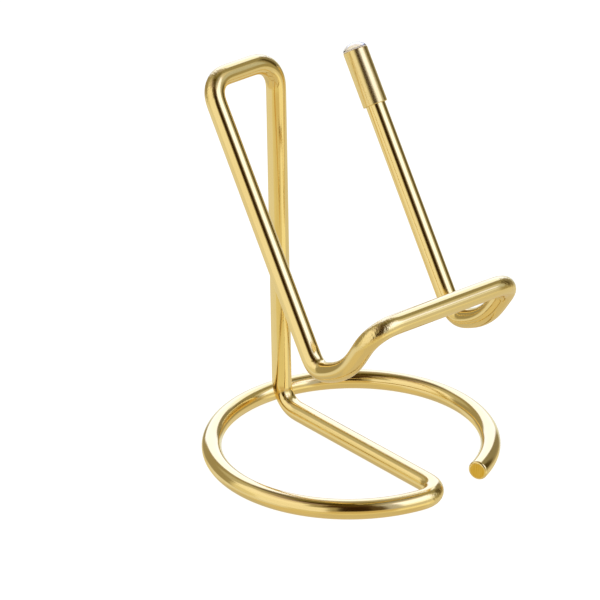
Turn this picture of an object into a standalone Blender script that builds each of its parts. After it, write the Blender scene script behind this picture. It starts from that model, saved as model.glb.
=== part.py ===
"""Table number holder: one bent metal rod on its own ring foot, with a capped arm tip.

Frame: metres, +Z up, origin at the centre of the ring foot on the table.
The card leans back towards +Y and faces -Y; +X is the holder's right-hand side.
"""
import math

import bpy
from mathutils import Vector

# Driving dimensions, metres
ROD_DIAMETER = 0.0049
RING_OUTER_DIAMETER = 0.0735
STAND_HEIGHT = 0.0990
ARM_SPACING = 0.0439
POST_SET_BACK = 0.0265
POST_TOP_DROP = 0.0004
FOOT_LIFT = 0.0006
ARM_TOP_SET_BACK = 0.0248
TROUGH_BACK_FORWARD = 0.01374
TROUGH_BACK_HEIGHT = 0.03409
TROUGH_FRONT_FORWARD = 0.02468
TROUGH_FRONT_HEIGHT = 0.03814
LIP_TOP_HEIGHT = 0.0521
LIP_DROP_RIGHT = 0.0006
CAP_TOP_HEIGHT = 0.09333

# Bend radii of the rod's centreline, metres
HOOK_BEND_RADIUS = 0.0052
FOOT_BEND_RADIUS = 0.0063
POST_TOP_BEND_RADIUS = 0.0077
ARM_TOP_BEND_RADIUS = 0.0055
TROUGH_BACK_BEND_RADIUS = 0.0042
TROUGH_FRONT_BEND_RADIUS = 0.0200
LIP_BEND_RADIUS = 0.0060

# The ring runs anticlockwise from its cut end; angles from +X, degrees
RING_CUT_ANGLE = -67.7
RING_STEP_ANGLE = 5.0
BEND_STEP_ANGLE = 13.0

# Tip cap and its clear dome, metres
CAP_DIAMETER = 0.0063
CAP_LENGTH = 0.01418
CAP_CHAMFER = 0.00025
CAP_WEB = 0.0010
SEAT_DEPTH = 0.0006
SEAT_DIAMETER = 0.0055
DOME_RISE = 0.0019
ADHESIVE_LENGTH = 0.0010
FIT_GAP = 0.0003

# Facet counts
ROD_SIDES = 16
TURNED_STEPS = 24
DOME_ARC_POINTS = 6

# Surface colours: linear RGB, metallic, roughness
GOLD_PLATE = ((0.83, 0.58, 0.20), 1.0, 0.16)
CLEAR_RESIN = ((0.95, 0.95, 0.96), 0.0, 0.05)
CURED_ADHESIVE = ((0.80, 0.78, 0.68), 0.0, 0.45)

ROD_RADIUS = ROD_DIAMETER / 2
RING_RADIUS = RING_OUTER_DIAMETER / 2 - ROD_RADIUS
RAIL_HEIGHT = STAND_HEIGHT - ROD_RADIUS
HALF_SPACING = ARM_SPACING / 2
BORE_RADIUS = ROD_RADIUS + FIT_GAP


def clear_scene():
    for item in list(bpy.data.objects):
        bpy.data.objects.remove(item, do_unlink=True)


def new_collection(name):
    group = bpy.data.collections.new(name)
    bpy.context.scene.collection.children.link(group)
    return group


def surface(name, finish):
    """A Principled material from a colour, a metallic value and a roughness."""
    colour, metallic, roughness = finish
    material = bpy.data.materials.new(name)
    material.use_nodes = True
    shader = material.node_tree.nodes["Principled BSDF"]
    shader.inputs["Base Color"].default_value = (*colour, 1.0)
    shader.inputs["Metallic"].default_value = metallic
    shader.inputs["Roughness"].default_value = roughness
    material.diffuse_color = (*colour, 1.0)
    return material


def level_arc(centre, radius, start, end, step):
    """Points at rod height on a level arc from the start angle to the end angle, in degrees."""
    count = math.ceil((end - start) / step)
    points = []
    for index in range(count + 1):
        angle = math.radians(start + (end - start) * index / count)
        across = centre[0] + radius * math.cos(angle)
        along = centre[1] + radius * math.sin(angle)
        points.append(Vector((across, along, ROD_RADIUS)))
    return points


def rounded_corner(before, corner, after, radius):
    """Points of the arc that rounds one corner of a path, tangent to both its sides."""
    inward = (before - corner).normalized()
    onward = (after - corner).normalized()
    half_angle = inward.angle(onward) / 2
    turn = math.pi - 2 * half_angle
    centre = corner + (inward + onward).normalized() * radius / math.sin(half_angle)
    first = corner + inward * radius / math.tan(half_angle)
    spoke = first - centre
    travel = -inward * radius
    count = math.ceil(math.degrees(turn) / BEND_STEP_ANGLE)
    points = []
    for index in range(count + 1):
        angle = turn * index / count
        points.append(centre + spoke * math.cos(angle) + travel * math.sin(angle))
    return points


def foot_points():
    """The ring from its cut end round to the hook, and the hook that turns in to the base bar."""
    hook_x = -HOOK_BEND_RADIUS
    hook_reach = RING_RADIUS - HOOK_BEND_RADIUS
    hook_y = -math.sqrt(hook_reach ** 2 - hook_x ** 2)
    join_angle = math.degrees(math.atan2(hook_y, hook_x)) + 360
    ring = level_arc((0, 0), RING_RADIUS, RING_CUT_ANGLE, join_angle, RING_STEP_ANGLE)
    hook = level_arc((hook_x, hook_y), HOOK_BEND_RADIUS, join_angle, 360, BEND_STEP_ANGLE)
    return ring + hook[1:]


def trough_back(side):
    """The corner between an arm and the bottom of its trough; the side is -1 left or 1 right."""
    return Vector((side * HALF_SPACING, -TROUGH_BACK_FORWARD, TROUGH_BACK_HEIGHT))


def trough_front(side):
    """The corner between the bottom of a trough and its lip."""
    return Vector((side * HALF_SPACING, -TROUGH_FRONT_FORWARD, TROUGH_FRONT_HEIGHT))


def arm_direction():
    """The leaning direction that both arms share, upwards."""
    left_top = Vector((-HALF_SPACING, ARM_TOP_SET_BACK, RAIL_HEIGHT))
    return (left_top - trough_back(-1)).normalized()


def cap_top_centre():
    arm_foot = trough_back(1)
    lean = arm_direction()
    return arm_foot + lean * (CAP_TOP_HEIGHT - arm_foot.z) / lean.z


def rod_end():
    """The covered end of the rod, short of the web by the adhesive plug and its two faces."""
    covered = SEAT_DEPTH + CAP_WEB + ADHESIVE_LENGTH + 2 * FIT_GAP
    return cap_top_centre() - arm_direction() * covered


def rod_points():
    """The rod's whole centreline, from the cut end of the ring to the end inside the cap."""
    foot = foot_points()
    lip_y = -RING_RADIUS
    corners = (
        (Vector((0, POST_SET_BACK, ROD_RADIUS + FOOT_LIFT)), FOOT_BEND_RADIUS),
        (Vector((0, POST_SET_BACK, RAIL_HEIGHT - POST_TOP_DROP)), POST_TOP_BEND_RADIUS),
        (Vector((-HALF_SPACING, ARM_TOP_SET_BACK, RAIL_HEIGHT)), ARM_TOP_BEND_RADIUS),
        (trough_back(-1), TROUGH_BACK_BEND_RADIUS),
        (trough_front(-1), TROUGH_FRONT_BEND_RADIUS),
        (Vector((-HALF_SPACING, lip_y, LIP_TOP_HEIGHT)), LIP_BEND_RADIUS),
        (Vector((HALF_SPACING, lip_y, LIP_TOP_HEIGHT - LIP_DROP_RIGHT)), LIP_BEND_RADIUS),
        (trough_front(1), TROUGH_FRONT_BEND_RADIUS),
        (trough_back(1), TROUGH_BACK_BEND_RADIUS),
    )
    stops = [foot[-1]] + [corner for corner, radius in corners] + [rod_end()]
    points = list(foot)
    for index, (corner, radius) in enumerate(corners):
        points += rounded_corner(stops[index], corner, stops[index + 2], radius)
    points.append(rod_end())
    return points


def make_rod(group):
    """The bent rod, sixteen-sided so that its flats touch the true round and one lies on the table."""
    curve = bpy.data.curves.new("wire_frame", "CURVE")
    curve.dimensions = "3D"
    curve.bevel_depth = ROD_RADIUS / math.cos(math.pi / ROD_SIDES)
    curve.bevel_resolution = (ROD_SIDES - 4) // 2
    curve.use_fill_caps = True
    points = rod_points()
    spline = curve.splines.new("POLY")
    spline.points.add(len(points) - 1)
    for target, point in zip(spline.points, points):
        target.co = (*point, 1.0)
        target.tilt = math.pi / ROD_SIDES
    spline.use_smooth = True
    rod = bpy.data.objects.new("wire_frame", curve)
    rod.data.materials.append(surface("gold_plate", GOLD_PLATE))
    group.objects.link(rod)
    return rod


def make_turned(name, group, profile, finish, parent):
    """A piece turned about its own Z axis from a profile of (radius, height) points."""
    mesh = bpy.data.meshes.new(name)
    edges = [(index, index + 1) for index in range(len(profile) - 1)]
    mesh.from_pydata([(radius, 0, height) for radius, height in profile], edges, [])
    piece = bpy.data.objects.new(name, mesh)
    piece.data.materials.append(surface(name, finish))
    turn = piece.modifiers.new("Turn", "SCREW")
    turn.angle = math.tau
    turn.steps = TURNED_STEPS
    turn.render_steps = TURNED_STEPS
    turn.use_merge_vertices = True
    turn.merge_threshold = 0.00001
    turn.use_smooth_shade = True
    piece.parent = parent
    group.objects.link(piece)
    return piece


def make_tip_axis(group):
    """An empty on the right arm's centreline at the cap's top face, with +Z up the arm."""
    axis = bpy.data.objects.new("arm_tip_axis", None)
    axis.location = cap_top_centre()
    axis.rotation_mode = "QUATERNION"
    axis.rotation_quaternion = arm_direction().to_track_quat("Z", "Y")
    axis.empty_display_size = CAP_LENGTH
    group.objects.link(axis)
    return axis


def make_end_cap(group, tip_axis):
    """The metal sleeve: a shallow seat on top, and a blind bore that the rod enters from below."""
    outer = CAP_DIAMETER / 2
    seat = SEAT_DIAMETER / 2
    bore_top = -SEAT_DEPTH - CAP_WEB
    profile = (
        (0, -SEAT_DEPTH),
        (seat, -SEAT_DEPTH),
        (seat, 0),
        (outer - CAP_CHAMFER, 0),
        (outer, -CAP_CHAMFER),
        (outer, -CAP_LENGTH),
        (BORE_RADIUS, -CAP_LENGTH),
        (BORE_RADIUS, bore_top),
        (0, bore_top),
    )
    return make_turned("end_cap", group, profile, GOLD_PLATE, tip_axis)


def make_clear_tip(group, tip_axis):
    """The clear dome, a spherical cap on a short round foot that stands in the seat."""
    foot_radius = SEAT_DIAMETER / 2 - FIT_GAP
    sphere_radius = (foot_radius ** 2 + DOME_RISE ** 2) / (2 * DOME_RISE)
    sphere_centre = DOME_RISE - sphere_radius
    edge_angle = math.asin(foot_radius / sphere_radius)
    profile = []
    for index in range(DOME_ARC_POINTS + 1):
        angle = edge_angle * index / DOME_ARC_POINTS
        radius = sphere_radius * math.sin(angle)
        height = sphere_centre + sphere_radius * math.cos(angle)
        profile.append((radius, height))
    profile.append((foot_radius, FIT_GAP - SEAT_DEPTH))
    profile.append((0, FIT_GAP - SEAT_DEPTH))
    return make_turned("clear_tip", group, profile, CLEAR_RESIN, tip_axis)


def make_adhesive(group, tip_axis):
    """The cured plug between the rod's end and the cap's web, which keeps the cap on."""
    top = -SEAT_DEPTH - CAP_WEB - FIT_GAP
    profile = (
        (0, top),
        (ROD_RADIUS, top),
        (ROD_RADIUS, top - ADHESIVE_LENGTH),
        (0, top - ADHESIVE_LENGTH),
    )
    return make_turned("cap_adhesive", group, profile, CURED_ADHESIVE, tip_axis)


def main():
    clear_scene()
    group = new_collection("table_number_holder")
    make_rod(group)
    tip_axis = make_tip_axis(group)
    make_end_cap(group, tip_axis)
    make_clear_tip(group, tip_axis)
    make_adhesive(group, tip_axis)


main()
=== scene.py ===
"""Looks for the table number holder: polished gold rod, turned cap and clear dome."""
import math

import bpy
from mathutils import Matrix, Vector


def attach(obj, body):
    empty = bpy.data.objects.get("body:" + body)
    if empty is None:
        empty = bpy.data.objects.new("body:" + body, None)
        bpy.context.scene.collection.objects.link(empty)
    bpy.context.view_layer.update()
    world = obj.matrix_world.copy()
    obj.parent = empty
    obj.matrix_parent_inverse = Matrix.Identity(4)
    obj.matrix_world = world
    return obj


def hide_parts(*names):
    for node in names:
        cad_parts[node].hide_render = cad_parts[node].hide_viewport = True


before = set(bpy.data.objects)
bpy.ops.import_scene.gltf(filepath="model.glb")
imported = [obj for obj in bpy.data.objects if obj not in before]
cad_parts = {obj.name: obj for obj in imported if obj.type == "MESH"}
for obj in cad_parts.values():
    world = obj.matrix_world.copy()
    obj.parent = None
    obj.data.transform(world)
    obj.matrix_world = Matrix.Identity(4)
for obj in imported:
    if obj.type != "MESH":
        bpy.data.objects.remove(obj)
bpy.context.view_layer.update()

# Dimensions of the rod's route, metres and degrees, as in the CAD model
ROD_RADIUS = 0.00245
RING_RADIUS = 0.0343
RAIL_HEIGHT = 0.09655
HALF_SPACING = 0.02195
POST_SET_BACK = 0.0265
POST_TOP_DROP = 0.0004
FOOT_LIFT = 0.0006
ARM_TOP_SET_BACK = 0.0248
TROUGH_BACK_FORWARD = 0.01374
TROUGH_BACK_HEIGHT = 0.03409
TROUGH_FRONT_FORWARD = 0.02468
TROUGH_FRONT_HEIGHT = 0.03814
LIP_TOP_HEIGHT = 0.0521
LIP_DROP_RIGHT = 0.0006
CAP_TOP_HEIGHT = 0.09333
HOOK_BEND_RADIUS = 0.0052
FOOT_BEND_RADIUS = 0.0063
POST_TOP_BEND_RADIUS = 0.0077
ARM_TOP_BEND_RADIUS = 0.0055
TROUGH_BACK_BEND_RADIUS = 0.0042
TROUGH_FRONT_BEND_RADIUS = 0.0200
LIP_BEND_RADIUS = 0.0060
RING_CUT_ANGLE = -67.7
COVERED_LENGTH = 0.0032
CUT_EDGE_RADIUS = 0.00055

# Where a tight bend pushed metal together on its inside, or pressed it in where the rise is
# negative: (centre on the surface, rise, reach), metres
BULGES = (
    ((0.0, 0.0231, 0.0064), -0.0006, 0.0016),
    ((-0.0215, -0.0142, 0.0383), 0.00022, 0.0006),
    ((0.0215, -0.0142, 0.0383), 0.00022, 0.0006),
)

# Cap and dome, metres
CAP_RADIUS = 0.00310
CAP_LENGTH = 0.01418
CAP_EDGE_RADIUS = 0.00018
SEAT_DEPTH = 0.0006
SEAT_RADIUS = 0.00280
WEB_THICKNESS = 0.0010
BORE_RADIUS = ROD_RADIUS + 0.00005
DOME_RADIUS = 0.00300
DOME_RISE = 0.00192
DOME_WALL = 0.00035
BAND_HEIGHT = 0.0003
FOOT_EDGE_RADIUS = 0.00005
FOOT_TOP_PLAY = 0.00002
FOOT_LIP_PLAY = 0.00001
FOOT_SEAT_PLAY = 0.00003

# Fineness of the visible meshes, metres and counts
ROUTE_STEP = 0.0006
ROUTE_SMOOTHING = 0.0009
SMOOTHING_WINDOW = 3
RING_STEP_ANGLE = 1.0
BEND_STEP_ANGLE = 2.0
ROD_SIDES = 64
CUT_FACE_SHARES = (0.0, 0.35, 0.7)
CUT_EDGE_STEP_ANGLE = 15
ROD_SHARP_ANGLE = 40
TURNED_SHARP_ANGLE = 35
TURNED_STEPS = 96
DOME_ARC_STEPS = 24
SEAT_EDGE_STEPS = 4
CAP_TOP_EDGE_STEPS = 6
CAP_MOUTH_EDGE_STEPS = 5
FOOT_EDGE_STEPS = 3

# Linear colours of the surfaces, each from its darkest to its palest
ROD_GOLD = ((0.935, 0.722, 0.30), (0.955, 0.758, 0.335))
CUT_GOLD = ((0.78, 0.49, 0.06), (0.90, 0.60, 0.11))
CAP_GOLD = ((0.935, 0.726, 0.31), (0.955, 0.762, 0.345))
ACRYLIC = ((0.95, 0.895, 0.77), (0.97, 0.915, 0.80))
FOOT_CREAM = ((0.93, 0.80, 0.62), (0.98, 0.88, 0.72))
ADHESIVE = ((0.70, 0.66, 0.52), (0.86, 0.84, 0.74))
FLOOR_GREY = ((0.24, 0.24, 0.235), (0.26, 0.26, 0.255))

# The floor's own light, linear
FLOOR_GLOW = (1, 1, 0.995, 1)
FLOOR_GLOW_STRENGTH = 0.96

# The view
CAMERA_AZIMUTH = -39.44
CAMERA_ELEVATION = 25.59
CAMERA_ROLL = -0.97
CAMERA_DISTANCE = 0.9541
CAMERA_TARGET = (0.0382, 0.06525, 0.00556)
CAMERA_LENS = 216.72
SENSOR_WIDTH = 36.0
FLOOR_SIZE = 6.0


# ---------------------------------------------------------------- the rod's route

def level_arc(centre, radius, start, end, step):
    """Points at rod height on a level arc from the start angle to the end angle, in degrees."""
    count = math.ceil((end - start) / step)
    points = []
    for index in range(count + 1):
        angle = math.radians(start + (end - start) * index / count)
        across = centre[0] + radius * math.cos(angle)
        along = centre[1] + radius * math.sin(angle)
        points.append(Vector((across, along, ROD_RADIUS)))
    return points


def rounded_corner(before, corner, after, radius):
    """Points of the arc that rounds one corner of a path, tangent to both its sides."""
    inward = (before - corner).normalized()
    onward = (after - corner).normalized()
    half_angle = inward.angle(onward) / 2
    turn = math.pi - 2 * half_angle
    centre = corner + (inward + onward).normalized() * radius / math.sin(half_angle)
    first = corner + inward * radius / math.tan(half_angle)
    spoke = first - centre
    travel = -inward * radius
    count = math.ceil(math.degrees(turn) / BEND_STEP_ANGLE)
    points = []
    for index in range(count + 1):
        angle = turn * index / count
        points.append(centre + spoke * math.cos(angle) + travel * math.sin(angle))
    return points


def foot_points():
    """The ring from its cut end round to the hook, and the hook that turns in to the base bar."""
    hook_x = -HOOK_BEND_RADIUS
    hook_y = -math.sqrt((RING_RADIUS - HOOK_BEND_RADIUS) ** 2 - hook_x ** 2)
    join_angle = math.degrees(math.atan2(hook_y, hook_x)) + 360
    ring = level_arc((0, 0), RING_RADIUS, RING_CUT_ANGLE, join_angle, RING_STEP_ANGLE)
    hook = level_arc((hook_x, hook_y), HOOK_BEND_RADIUS, join_angle, 360, BEND_STEP_ANGLE)
    return ring + hook[1:]


def trough_back(side):
    """The corner between an arm and the bottom of its trough; the side is -1 left or 1 right."""
    return Vector((side * HALF_SPACING, -TROUGH_BACK_FORWARD, TROUGH_BACK_HEIGHT))


def trough_front(side):
    """The corner between the bottom of a trough and its lip."""
    return Vector((side * HALF_SPACING, -TROUGH_FRONT_FORWARD, TROUGH_FRONT_HEIGHT))


LEFT_ARM_TOP = Vector((-HALF_SPACING, ARM_TOP_SET_BACK, RAIL_HEIGHT))
LEAN = (LEFT_ARM_TOP - trough_back(-1)).normalized()
CAP_TOP = trough_back(1) + LEAN * (CAP_TOP_HEIGHT - TROUGH_BACK_HEIGHT) / LEAN.z


def corner_points():
    """The route's whole centreline, from the cut end of the ring to the end inside the cap."""
    foot = foot_points()
    end = CAP_TOP - LEAN * COVERED_LENGTH
    corners = (
        (Vector((0, POST_SET_BACK, ROD_RADIUS + FOOT_LIFT)), FOOT_BEND_RADIUS),
        (Vector((0, POST_SET_BACK, RAIL_HEIGHT - POST_TOP_DROP)), POST_TOP_BEND_RADIUS),
        (LEFT_ARM_TOP, ARM_TOP_BEND_RADIUS),
        (trough_back(-1), TROUGH_BACK_BEND_RADIUS),
        (trough_front(-1), TROUGH_FRONT_BEND_RADIUS),
        (Vector((-HALF_SPACING, -RING_RADIUS, LIP_TOP_HEIGHT)), LIP_BEND_RADIUS),
        (Vector((HALF_SPACING, -RING_RADIUS, LIP_TOP_HEIGHT - LIP_DROP_RIGHT)), LIP_BEND_RADIUS),
        (trough_front(1), TROUGH_FRONT_BEND_RADIUS),
        (trough_back(1), TROUGH_BACK_BEND_RADIUS),
    )
    stops = [foot[-1]] + [corner for corner, radius in corners] + [end]
    points = list(foot)
    for index, (corner, radius) in enumerate(corners):
        points += rounded_corner(stops[index], corner, stops[index + 2], radius)
    points.append(end)
    return points


def even_points(points, step):
    """The same path with its points an even step apart."""
    lengths = [0.0]
    for first, second in zip(points, points[1:]):
        lengths.append(lengths[-1] + (second - first).length)
    count = round(lengths[-1] / step)
    even = []
    segment = 0
    for index in range(count + 1):
        target = lengths[-1] * index / count
        while segment < len(points) - 2 and lengths[segment + 1] < target:
            segment += 1
        span = lengths[segment + 1] - lengths[segment]
        share = (target - lengths[segment]) / span if span else 0.0
        even.append(points[segment].lerp(points[segment + 1], min(share, 1.0)))
    return even


def smoothed(values, reach):
    """Values along the route, averaged with a bell-shaped weight; the two ends stay as they are."""
    window = math.ceil(SMOOTHING_WINDOW * reach)
    weights = [math.exp(-0.5 * (offset / reach) ** 2) for offset in range(-window, window + 1)]
    total = sum(weights)
    result = []
    last = len(values) - 1
    for index in range(last + 1):
        mean = values[0] * 0
        for weight, offset in zip(weights, range(-window, window + 1)):
            other = index + offset
            if other < 0:
                value = values[0] * 2 - values[min(-other, last)]
            elif other > last:
                value = values[last] * 2 - values[max(2 * last - other, 0)]
            else:
                value = values[other]
            mean = mean + value * (weight / total)
        result.append(mean)
    return result


def route():
    points = even_points(corner_points(), ROUTE_STEP)
    return smoothed(points, ROUTE_SMOOTHING / ROUTE_STEP)


def bulge(spot):
    """How far the surface stands out at that spot, or is pressed in where it is negative."""
    height = 0.0
    for centre, rise, reach in BULGES:
        height += rise * math.exp(-0.5 * ((spot - Vector(centre)).length / reach) ** 2)
    return height


def make_rod():
    """Sweeps a round section along the route.

    The mesh carries two measures for its material: "route", a UV layer with the distance along the
    rod and the place round it, and "stretch", how far the outside of a bend was drawn out.
    """
    points = route()
    count = len(points)
    directions = []
    for index in range(count):
        before = points[max(index - 1, 0)]
        after = points[min(index + 1, count - 1)]
        directions.append((after - before).normalized())
    curvature = [Vector((0, 0, 0))]
    for index in range(1, count - 1):
        curvature.append((directions[index + 1] - directions[index - 1]) / (2 * ROUTE_STEP))
    curvature.append(Vector((0, 0, 0)))

    # Sections as (point of the route, depth under the cut face, radius), from the cut face on
    sections = []
    for share in CUT_FACE_SHARES:
        sections.append((0, 0.0, (ROD_RADIUS - CUT_EDGE_RADIUS) * share))
    for angle in range(90, -1, -CUT_EDGE_STEP_ANGLE):
        turn = math.radians(angle)
        depth = CUT_EDGE_RADIUS * (1 - math.sin(turn))
        sections.append((0, depth, ROD_RADIUS - CUT_EDGE_RADIUS * (1 - math.cos(turn))))
    for index in range(1, count):
        sections.append((index, 0.0, ROD_RADIUS))

    up = Vector((0, 0, 1))
    frames = []
    for index in range(count):
        if index:
            up = directions[index - 1].rotation_difference(directions[index]) @ up
        up = (up - directions[index] * up.dot(directions[index])).normalized()
        frames.append((up.copy(), directions[index].cross(up)))

    vertices = []
    stretch = []
    distances = []
    rings = []
    for index, depth, radius in sections:
        up, side = frames[index]
        centre = points[index] + directions[index] * depth
        distances.append(index * ROUTE_STEP + depth)
        if radius == 0:
            rings.append([len(vertices)] * ROD_SIDES)
            vertices.append(centre)
            stretch.append(0.0)
            continue
        rings.append(list(range(len(vertices), len(vertices) + ROD_SIDES)))
        for step in range(ROD_SIDES):
            angle = math.tau * step / ROD_SIDES
            offset = up * math.cos(angle) + side * math.sin(angle)
            spot = centre + offset * radius
            vertices.append(spot + offset * bulge(spot))
            stretch.append(max(0.0, -offset.dot(curvature[index]) * ROD_RADIUS))
    faces = []
    face_rings = []
    for ring, (upper, lower) in enumerate(zip(rings, rings[1:])):
        for step in range(ROD_SIDES):
            following = (step + 1) % ROD_SIDES
            corners = (upper[step], lower[step], lower[following], upper[following])
            if upper[0] == upper[1]:
                corners = (upper[0], lower[step], lower[following])
            faces.append(corners)
            face_rings.append((ring, step))
    faces.append(tuple(reversed(rings[-1])))

    mesh = bpy.data.meshes.new("rod")
    mesh.from_pydata(vertices, [], faces)
    layer = mesh.uv_layers.new(name="route")
    for polygon, (ring, step) in zip(mesh.polygons, face_rings):
        places = [(ring, step), (ring + 1, step), (ring + 1, step + 1), (ring, step + 1)]
        if len(polygon.loop_indices) == 3:
            places.pop()
        for loop, (row, column) in zip(polygon.loop_indices, places):
            layer.data[loop].uv = (distances[row], column / ROD_SIDES)
    measure = mesh.attributes.new("stretch", "FLOAT", "POINT")
    measure.data.foreach_set("value", stretch)
    cut_faces = len(CUT_FACE_SHARES) * ROD_SIDES
    for polygon in mesh.polygons[:cut_faces]:
        polygon.material_index = 1
    mesh.shade_smooth()
    mesh.set_sharp_from_angle(angle=math.radians(ROD_SHARP_ANGLE))
    rod = bpy.data.objects.new("gold_rod", mesh)
    bpy.context.scene.collection.objects.link(rod)
    return rod


# ---------------------------------------------------------------- cap and dome

def make_turned(name, profile):
    """A closed piece turned about the right arm's line; heights are up the arm from the cap's top.

    The UV layer "turned" holds the place round the piece and the distance along its profile.
    """
    place = Matrix.Translation(CAP_TOP) @ LEAN.to_track_quat("Z", "Y").to_matrix().to_4x4()
    vertices = []
    rings = []
    travelled = [0.0]
    for first, second in zip(profile, profile[1:]):
        travelled.append(travelled[-1] + math.dist(first, second))
    for radius, height in profile:
        if radius == 0:
            rings.append([len(vertices)] * TURNED_STEPS)
            vertices.append(place @ Vector((0, 0, height)))
            continue
        rings.append(list(range(len(vertices), len(vertices) + TURNED_STEPS)))
        for step in range(TURNED_STEPS):
            angle = math.tau * step / TURNED_STEPS
            spot = Vector((radius * math.cos(angle), radius * math.sin(angle), height))
            vertices.append(place @ spot)
    faces = []
    places = []
    for row, (upper, lower) in enumerate(zip(rings, rings[1:])):
        for step in range(TURNED_STEPS):
            following = (step + 1) % TURNED_STEPS
            spots = [(row, step), (row + 1, step), (row + 1, step + 1), (row, step + 1)]
            corners = [upper[step], lower[step], lower[following], upper[following]]
            if upper[0] == upper[1]:
                spots.pop(3)
                corners.pop(3)
            elif lower[0] == lower[1]:
                spots.pop(2)
                corners.pop(2)
            faces.append(corners)
            places.append(spots)
    mesh = bpy.data.meshes.new(name)
    mesh.from_pydata(vertices, [], faces)
    layer = mesh.uv_layers.new(name="turned")
    for polygon, spots in zip(mesh.polygons, places):
        for loop, (row, column) in zip(polygon.loop_indices, spots):
            layer.data[loop].uv = (column / TURNED_STEPS, travelled[row])
    mesh.shade_smooth()
    mesh.set_sharp_from_angle(angle=math.radians(TURNED_SHARP_ANGLE))
    piece = bpy.data.objects.new(name, mesh)
    bpy.context.scene.collection.objects.link(piece)
    return piece


def fillet_profile(centre_radius, centre_height, fillet, start, end, steps):
    """Profile points of a rounded edge, from the start angle to the end angle in degrees."""
    points = []
    for index in range(steps + 1):
        angle = math.radians(start + (end - start) * index / steps)
        radius = centre_radius + fillet * math.cos(angle)
        height = centre_height + fillet * math.sin(angle)
        points.append((radius, height))
    return points


def make_cap():
    """The sleeve, with the dome's seat on top and the blind bore for the rod below."""
    edge = CAP_EDGE_RADIUS
    small = edge / 2
    rim = CAP_RADIUS - edge
    profile = [(0, -SEAT_DEPTH), (SEAT_RADIUS, -SEAT_DEPTH)]
    profile += fillet_profile(SEAT_RADIUS + small, -small, small, 180, 90, SEAT_EDGE_STEPS)
    profile += fillet_profile(rim, -edge, edge, 90, 0, CAP_TOP_EDGE_STEPS)
    profile += fillet_profile(rim, edge - CAP_LENGTH, edge, 0, -90, CAP_MOUTH_EDGE_STEPS)
    profile += [(BORE_RADIUS, -CAP_LENGTH), (BORE_RADIUS, -SEAT_DEPTH - WEB_THICKNESS)]
    profile += [(0, -SEAT_DEPTH - WEB_THICKNESS)]
    return make_turned("gold_cap", profile)


def dome_arc(foot, rise):
    """Profile points of a spherical cap, from its top to its foot."""
    sphere = (foot ** 2 + rise ** 2) / (2 * rise)
    edge_angle = math.asin(foot / sphere)
    points = []
    for index in range(DOME_ARC_STEPS + 1):
        angle = edge_angle * index / DOME_ARC_STEPS
        points.append((sphere * math.sin(angle), rise - sphere + sphere * math.cos(angle)))
    return points


def make_dome():
    """The clear shell, which stands on its pale foot."""
    bottom = BAND_HEIGHT
    squeeze = (DOME_RISE - bottom) / DOME_RISE
    outer = dome_arc(DOME_RADIUS, DOME_RISE)
    inner = dome_arc(DOME_RADIUS - DOME_WALL, DOME_RISE - bottom - DOME_WALL)
    profile = [(radius, bottom + height * squeeze) for radius, height in outer]
    profile += [(radius, bottom + height) for radius, height in reversed(inner)]
    return make_turned("clear_dome", profile)


def make_seating_ring():
    """The pale foot of the dome, which fills the seat and shows as a band above the cap."""
    edge = FOOT_EDGE_RADIUS
    top = BAND_HEIGHT - FOOT_TOP_PLAY
    bottom = FOOT_SEAT_PLAY - SEAT_DEPTH
    plug = SEAT_RADIUS - FOOT_SEAT_PLAY
    profile = [(0, top)]
    profile += fillet_profile(DOME_RADIUS - edge, top - edge, edge, 90, 0, FOOT_EDGE_STEPS)
    profile += [(DOME_RADIUS, FOOT_LIP_PLAY), (plug, FOOT_LIP_PLAY), (plug, bottom), (0, bottom)]
    return make_turned("seating_ring", profile)


# ---------------------------------------------------------------- materials

def new_material(name):
    material = bpy.data.materials.new(name)
    material.use_nodes = True
    return material, material.node_tree, material.node_tree.nodes["Principled BSDF"]


def math_node(tree, operation, *values, clamp=False):
    node = tree.nodes.new("ShaderNodeMath")
    node.operation = operation
    node.use_clamp = clamp
    for socket, value in zip(node.inputs, values):
        if isinstance(value, (int, float)):
            socket.default_value = value
        else:
            tree.links.new(value, socket)
    return node.outputs[0]


def stretched(tree, source, scale):
    """The source coordinates, scaled separately on each axis."""
    node = tree.nodes.new("ShaderNodeMapping")
    node.inputs["Scale"].default_value = scale
    tree.links.new(source, node.inputs["Vector"])
    return node.outputs["Vector"]


def noise(tree, vector, scale, detail, roughness=0.5):
    node = tree.nodes.new("ShaderNodeTexNoise")
    node.inputs["Scale"].default_value = scale
    node.inputs["Detail"].default_value = detail
    node.inputs["Roughness"].default_value = roughness
    tree.links.new(vector, node.inputs["Vector"])
    return node.outputs["Fac"]


def spread(tree, value, low, high, start=0.0, end=1.0):
    """Maps the range start to end onto low to high, clamped."""
    node = tree.nodes.new("ShaderNodeMapRange")
    node.inputs["From Min"].default_value = start
    node.inputs["From Max"].default_value = end
    node.inputs["To Min"].default_value = low
    node.inputs["To Max"].default_value = high
    tree.links.new(value, node.inputs["Value"])
    return node.outputs["Result"]


def blend_colour(tree, factor, first, second):
    """The first colour or socket where the factor is 0, the second where it is 1."""
    node = tree.nodes.new("ShaderNodeMix")
    node.data_type = "RGBA"
    tree.links.new(factor, node.inputs["Factor"])
    for socket, colour in ((node.inputs["A"], first), (node.inputs["B"], second)):
        if isinstance(colour, tuple):
            socket.default_value = (*colour, 1)
        else:
            tree.links.new(colour, socket)
    return node.outputs["Result"]


def bump(tree, height, depth, strength=1.0, under=None):
    """A bump of that depth in metres over the range of the height, on top of another bump."""
    node = tree.nodes.new("ShaderNodeBump")
    node.inputs["Distance"].default_value = depth
    tree.links.new(height, node.inputs["Height"])
    if isinstance(strength, (int, float)):
        node.inputs["Strength"].default_value = strength
    else:
        tree.links.new(strength, node.inputs["Strength"])
    if under is not None:
        tree.links.new(under, node.inputs["Normal"])
    return node.outputs["Normal"]


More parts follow.
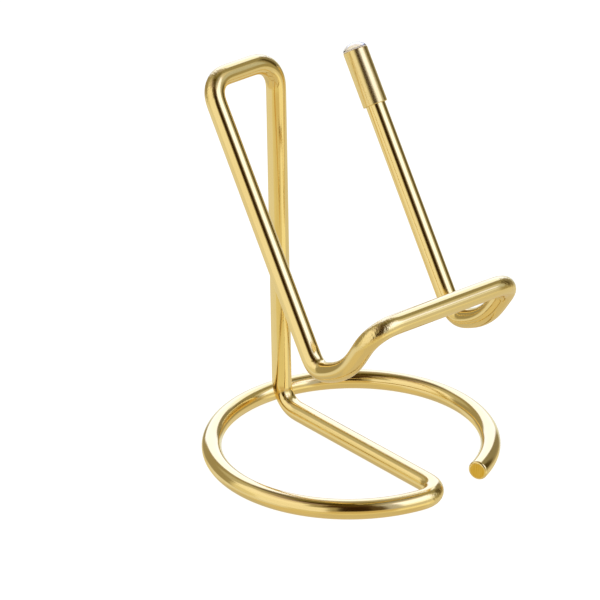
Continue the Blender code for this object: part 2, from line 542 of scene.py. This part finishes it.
def coordinates(tree):
    return tree.nodes.new("ShaderNodeTexCoord").outputs["Object"]


def layer_coordinates(tree, name):
    node = tree.nodes.new("ShaderNodeUVMap")
    node.uv_map = name
    return node.outputs["UV"]


def polished_gold():
    """Bright plating over drawn rod: long faint draw lines, and orange peel outside the bends."""
    material, tree, shader = new_material("polished_gold")
    link = tree.links.new
    where = coordinates(tree)
    along = layer_coordinates(tree, "route")
    strain = tree.nodes.new("ShaderNodeAttribute")
    strain.attribute_name = "stretch"
    bent = spread(tree, strain.outputs["Fac"], 0, 1, 0.12, 0.40)
    tone = spread(tree, noise(tree, where, scale=70, detail=3), 0, 1, 0.3, 0.7)
    haze = noise(tree, where, scale=260, detail=5, roughness=0.6)
    link(blend_colour(tree, tone, *ROD_GOLD), shader.inputs["Base Color"])
    shader.inputs["Metallic"].default_value = 1.0
    polish = spread(tree, haze, 0.105, 0.135, 0.35, 0.7)
    link(math_node(tree, "MULTIPLY_ADD", bent, 0.04, polish), shader.inputs["Roughness"])
    lines = noise(tree, stretched(tree, along, (160, 60, 1)), scale=1, detail=2)
    peel = noise(tree, where, scale=1500, detail=3, roughness=0.6)
    peel_strength = spread(tree, bent, 0.02, 0.9)
    normal = bump(tree, lines, depth=0.000004)
    normal = bump(tree, peel, depth=0.00012, strength=peel_strength, under=normal)
    link(normal, shader.inputs["Normal"])
    return material


def cut_face_gold():
    """The sheared end: a darker, rougher film of plating over the tear lines."""
    material, tree, shader = new_material("cut_face_gold")
    link = tree.links.new
    where = coordinates(tree)
    tears = noise(tree, stretched(tree, where, (4200, 4200, 300)), scale=1, detail=3)
    tone = spread(tree, tears, 0, 1, 0.3, 0.7)
    link(blend_colour(tree, tone, *CUT_GOLD), shader.inputs["Base Color"])
    shader.inputs["Metallic"].default_value = 1.0
    link(spread(tree, tears, 0.28, 0.42), shader.inputs["Roughness"])
    link(bump(tree, tears, depth=0.00002), shader.inputs["Normal"])
    return material


def turned_gold():
    """The cap's plating, slightly duller than the rod's, over fine lathe lines."""
    material, tree, shader = new_material("turned_gold")
    link = tree.links.new
    where = coordinates(tree)
    around = layer_coordinates(tree, "turned")
    tone = spread(tree, noise(tree, where, scale=90, detail=3), 0, 1, 0.3, 0.7)
    lathe = noise(tree, stretched(tree, around, (3, 9000, 1)), scale=1, detail=3, roughness=0.6)
    link(blend_colour(tree, tone, *CAP_GOLD), shader.inputs["Base Color"])
    shader.inputs["Metallic"].default_value = 1.0
    link(spread(tree, lathe, 0.23, 0.28, 0.3, 0.7), shader.inputs["Roughness"])
    link(bump(tree, lathe, depth=0.000003), shader.inputs["Normal"])
    return material


def clear_acrylic():
    """The dome's clear plastic, with faint waves from its mould."""
    material, tree, shader = new_material("clear_acrylic")
    link = tree.links.new
    where = coordinates(tree)
    flow = noise(tree, where, scale=500, detail=3)
    link(blend_colour(tree, flow, *ACRYLIC), shader.inputs["Base Color"])
    shader.inputs["Transmission Weight"].default_value = 1.0
    shader.inputs["IOR"].default_value = 1.46
    link(spread(tree, flow, 0.02, 0.08, 0.3, 0.7), shader.inputs["Roughness"])
    link(bump(tree, flow, depth=0.00001), shader.inputs["Normal"])
    return material


def pale_backing():
    """The cream, slightly grainy foot that the clear dome stands on."""
    material, tree, shader = new_material("pale_backing")
    link = tree.links.new
    grain = noise(tree, coordinates(tree), scale=3000, detail=3)
    link(blend_colour(tree, grain, *FOOT_CREAM), shader.inputs["Base Color"])
    link(spread(tree, grain, 0.35, 0.55), shader.inputs["Roughness"])
    return material


def cured_adhesive():
    """Cloudy, yellowed adhesive, hidden in the cap."""
    material, tree, shader = new_material("cured_adhesive")
    link = tree.links.new
    cloud = noise(tree, coordinates(tree), scale=900, detail=4)
    link(blend_colour(tree, cloud, *ADHESIVE), shader.inputs["Base Color"])
    link(spread(tree, cloud, 0.35, 0.6), shader.inputs["Roughness"])
    shader.inputs["Subsurface Weight"].default_value = 0.3
    shader.inputs["Subsurface Scale"].default_value = 0.0005
    link(bump(tree, cloud, depth=0.00003), shader.inputs["Normal"])
    return material


# ---------------------------------------------------------------- studio

# What stands round the holder, as azimuth from +Y towards +X and elevation, in degrees:
# (centre azimuth, half width, lowest, highest, edge softness, linear colour)
STUDIO = (
    (0, 181, -15, 90, 8, (0.35, 0.31, 0.21)),
    (0, 181, -36, -20, 8, (0.765, 0.702, 0.46)),
    (-48, 43, -36, -14, 8, (0.79, 0.784, 0.753)),
    (-62, 46, -64, -30, 8, (0.71, 0.621, 0.421)),
    (112, 36, -60, -21, 8, (0.696, 0.664, 0.576)),
    (-15, 36, -62, -38, 8, (0.592, 0.549, 0.449)),
    (-150, 38, -23, -2, 8, (0.637, 0.514, 0.302)),
    (-90, 32, -16, 31, 7, (0.94, 0.92, 0.88)),
    (-54, 12, -14, 11, 8, (0.77, 0.726, 0.57)),
    (-59, 17, 11, 30, 7, (0.951, 0.923, 0.824)),
    (-69, 34, 24, 50, 7, (1.0, 0.98, 0.97)),
    (-66, 24, 45, 58, 7, (0.787, 0.72, 0.678)),
    (-70, 40, 58, 72, 8, (0.326, 0.26, 0.293)),
    (-25, 12, 24, 58, 9, (0.49, 0.467, 0.387)),
    (45, 23, -26, 6, 10, (0.82, 0.88, 0.90)),
    (40, 24, 50, 62, 6, (0.433, 0.412, 0.457)),
    (38, 28, 5, 48, 6, (1.20, 1.38, 2.30)),
    (62, 20, 36, 54, 6, (1.10, 1.25, 1.80)),
    (104, 26, 30, 62, 6, (0.32, 0.295, 0.202)),
    (91, 24, -4, 38, 7, (0.27, 0.25, 0.19)),
    (103, 10, -5, 36, 8, (0.08, 0.06, 0.02)),
    (126, 12, -16, 4, 7, (0.366, 0.325, 0.202)),
    (130, 7, 6, 36, 8, (0.528, 0.554, 0.572)),
    (130, 9, 33, 59, 8, (0.667, 0.647, 0.599)),
    (163, 23, -36, -12, 7, (0.956, 0.921, 0.727)),
    (162, 23, -16, 12, 7, (0.68, 0.655, 0.597)),
    (162, 22, 9, 24, 6, (1.13, 1.24, 1.51)),
    (160, 24, 48, 62, 6, (0.655, 0.646, 0.768)),
    (159, 24, 22, 53, 6, (1.32, 1.46, 2.4)),
    (-171, 6, -4, 56, 6, (0.503, 0.521, 0.66)),
    (-148, 18, 1, 46, 5, (0.095, 0.065, 0.03)),
    (-138, 24, 42, 90, 6, (0.07, 0.035, 0.01)),
    (-142, 12, 7, 50, 4, (0.03, 0.013, 0.002)),
    (0, 181, 66, 90, 6, (0.192, 0.167, 0.0729)),
    (46, 32, 60, 73, 6, (0.449, 0.415, 0.393)),
    (158, 30, 62, 73, 6, (0.335, 0.347, 0.404)),
    (-110, 60, 68, 90, 8, (0.056, 0.0324, 0.00109)),
    (5, 12, 52, 68, 8, (0.131, 0.116, 0.118)),
)
AMBIENT = (0.651, 0.582, 0.438)


def soft_step(tree, value, low, high):
    """0 up to low and 1 from high on, smooth between; low may be the larger."""
    node = tree.nodes.new("ShaderNodeMapRange")
    node.interpolation_type = "SMOOTHSTEP"
    tree.links.new(value, node.inputs["Value"])
    node.inputs["From Min"].default_value = low
    node.inputs["From Max"].default_value = high
    return node.outputs["Result"]


def make_world():
    """The studio as a world: the ambient colour, with each patch of STUDIO laid over the last."""
    world = bpy.data.worlds.new("studio")
    bpy.context.scene.world = world
    world.use_nodes = True
    tree = world.node_tree
    split = tree.nodes.new("ShaderNodeSeparateXYZ")
    tree.links.new(tree.nodes.new("ShaderNodeTexCoord").outputs["Generated"], split.inputs[0])
    x, y, z = split.outputs
    elevation = math_node(tree, "ARCSINE", z)
    azimuth = math_node(tree, "ARCTAN2", x, y)
    current = AMBIENT
    for centre, half, low, high, soft, colour in STUDIO:
        centre, half, low, high, soft = map(math.radians, (centre, half, low, high, soft))
        away = math_node(tree, "SUBTRACT", azimuth, centre)
        away = math_node(tree, "ARCCOSINE", math_node(tree, "COSINE", away))
        beside = soft_step(tree, away, half + soft / 2, half - soft / 2)
        above = soft_step(tree, elevation, low - soft / 2, low + soft / 2)
        below = soft_step(tree, elevation, high + soft / 2, high - soft / 2)
        mask = math_node(tree, "MULTIPLY", math_node(tree, "MULTIPLY", beside, above), below)
        current = blend_colour(tree, mask, current, colour)
    tree.links.new(current, tree.nodes["Background"].inputs["Color"])


def make_floor():
    """A pale floor that lights itself almost to white and doesn't show in the metal."""
    bpy.ops.mesh.primitive_plane_add(size=FLOOR_SIZE)
    floor = bpy.context.object
    floor.name = "studio_floor"
    material, tree, shader = new_material("pale_floor")
    grain = noise(tree, coordinates(tree), scale=400, detail=2)
    tree.links.new(blend_colour(tree, grain, *FLOOR_GREY), shader.inputs["Base Color"])
    shader.inputs["Roughness"].default_value = 1.0
    shader.inputs["Specular IOR Level"].default_value = 0.0
    shader.inputs["Emission Color"].default_value = FLOOR_GLOW
    shader.inputs["Emission Strength"].default_value = FLOOR_GLOW_STRENGTH
    floor.data.materials.append(material)
    floor.visible_glossy = False


def make_camera():
    azimuth = math.radians(CAMERA_AZIMUTH)
    elevation = math.radians(CAMERA_ELEVATION)
    level = math.cos(elevation)
    back = Vector((math.sin(azimuth) * level, -math.cos(azimuth) * level, math.sin(elevation)))
    right = Vector((0, 0, 1)).cross(back).normalized()
    turn = Matrix((right, back.cross(right), back)).transposed().to_4x4()
    turn = turn @ Matrix.Rotation(math.radians(CAMERA_ROLL), 4, "Z")
    data = bpy.data.cameras.new("camera")
    data.lens = CAMERA_LENS
    data.sensor_width = SENSOR_WIDTH
    camera = bpy.data.objects.new("camera", data)
    camera.matrix_world = Matrix.Translation(Vector(CAMERA_TARGET) + back * CAMERA_DISTANCE) @ turn
    bpy.context.scene.collection.objects.link(camera)
    bpy.context.scene.camera = camera


def finish_piece(piece, materials, node):
    """Gives a piece its materials and body, and hides the CAD part that it stands for, if any."""
    for material in materials:
        piece.data.materials.append(material)
    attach(piece, "root")
    if node is not None:
        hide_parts(node)


finish_piece(make_rod(), [polished_gold(), cut_face_gold()], "wire_frame")
finish_piece(make_cap(), [turned_gold()], "end_cap")
finish_piece(make_dome(), [clear_acrylic()], "clear_tip")
finish_piece(make_seating_ring(), [pale_backing()], None)

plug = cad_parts["cap_adhesive"]
plug.data.materials.clear()
plug.data.materials.append(cured_adhesive())

make_world()
make_floor()
make_camera()
bpy.context.scene.view_settings.view_transform = "Standard"
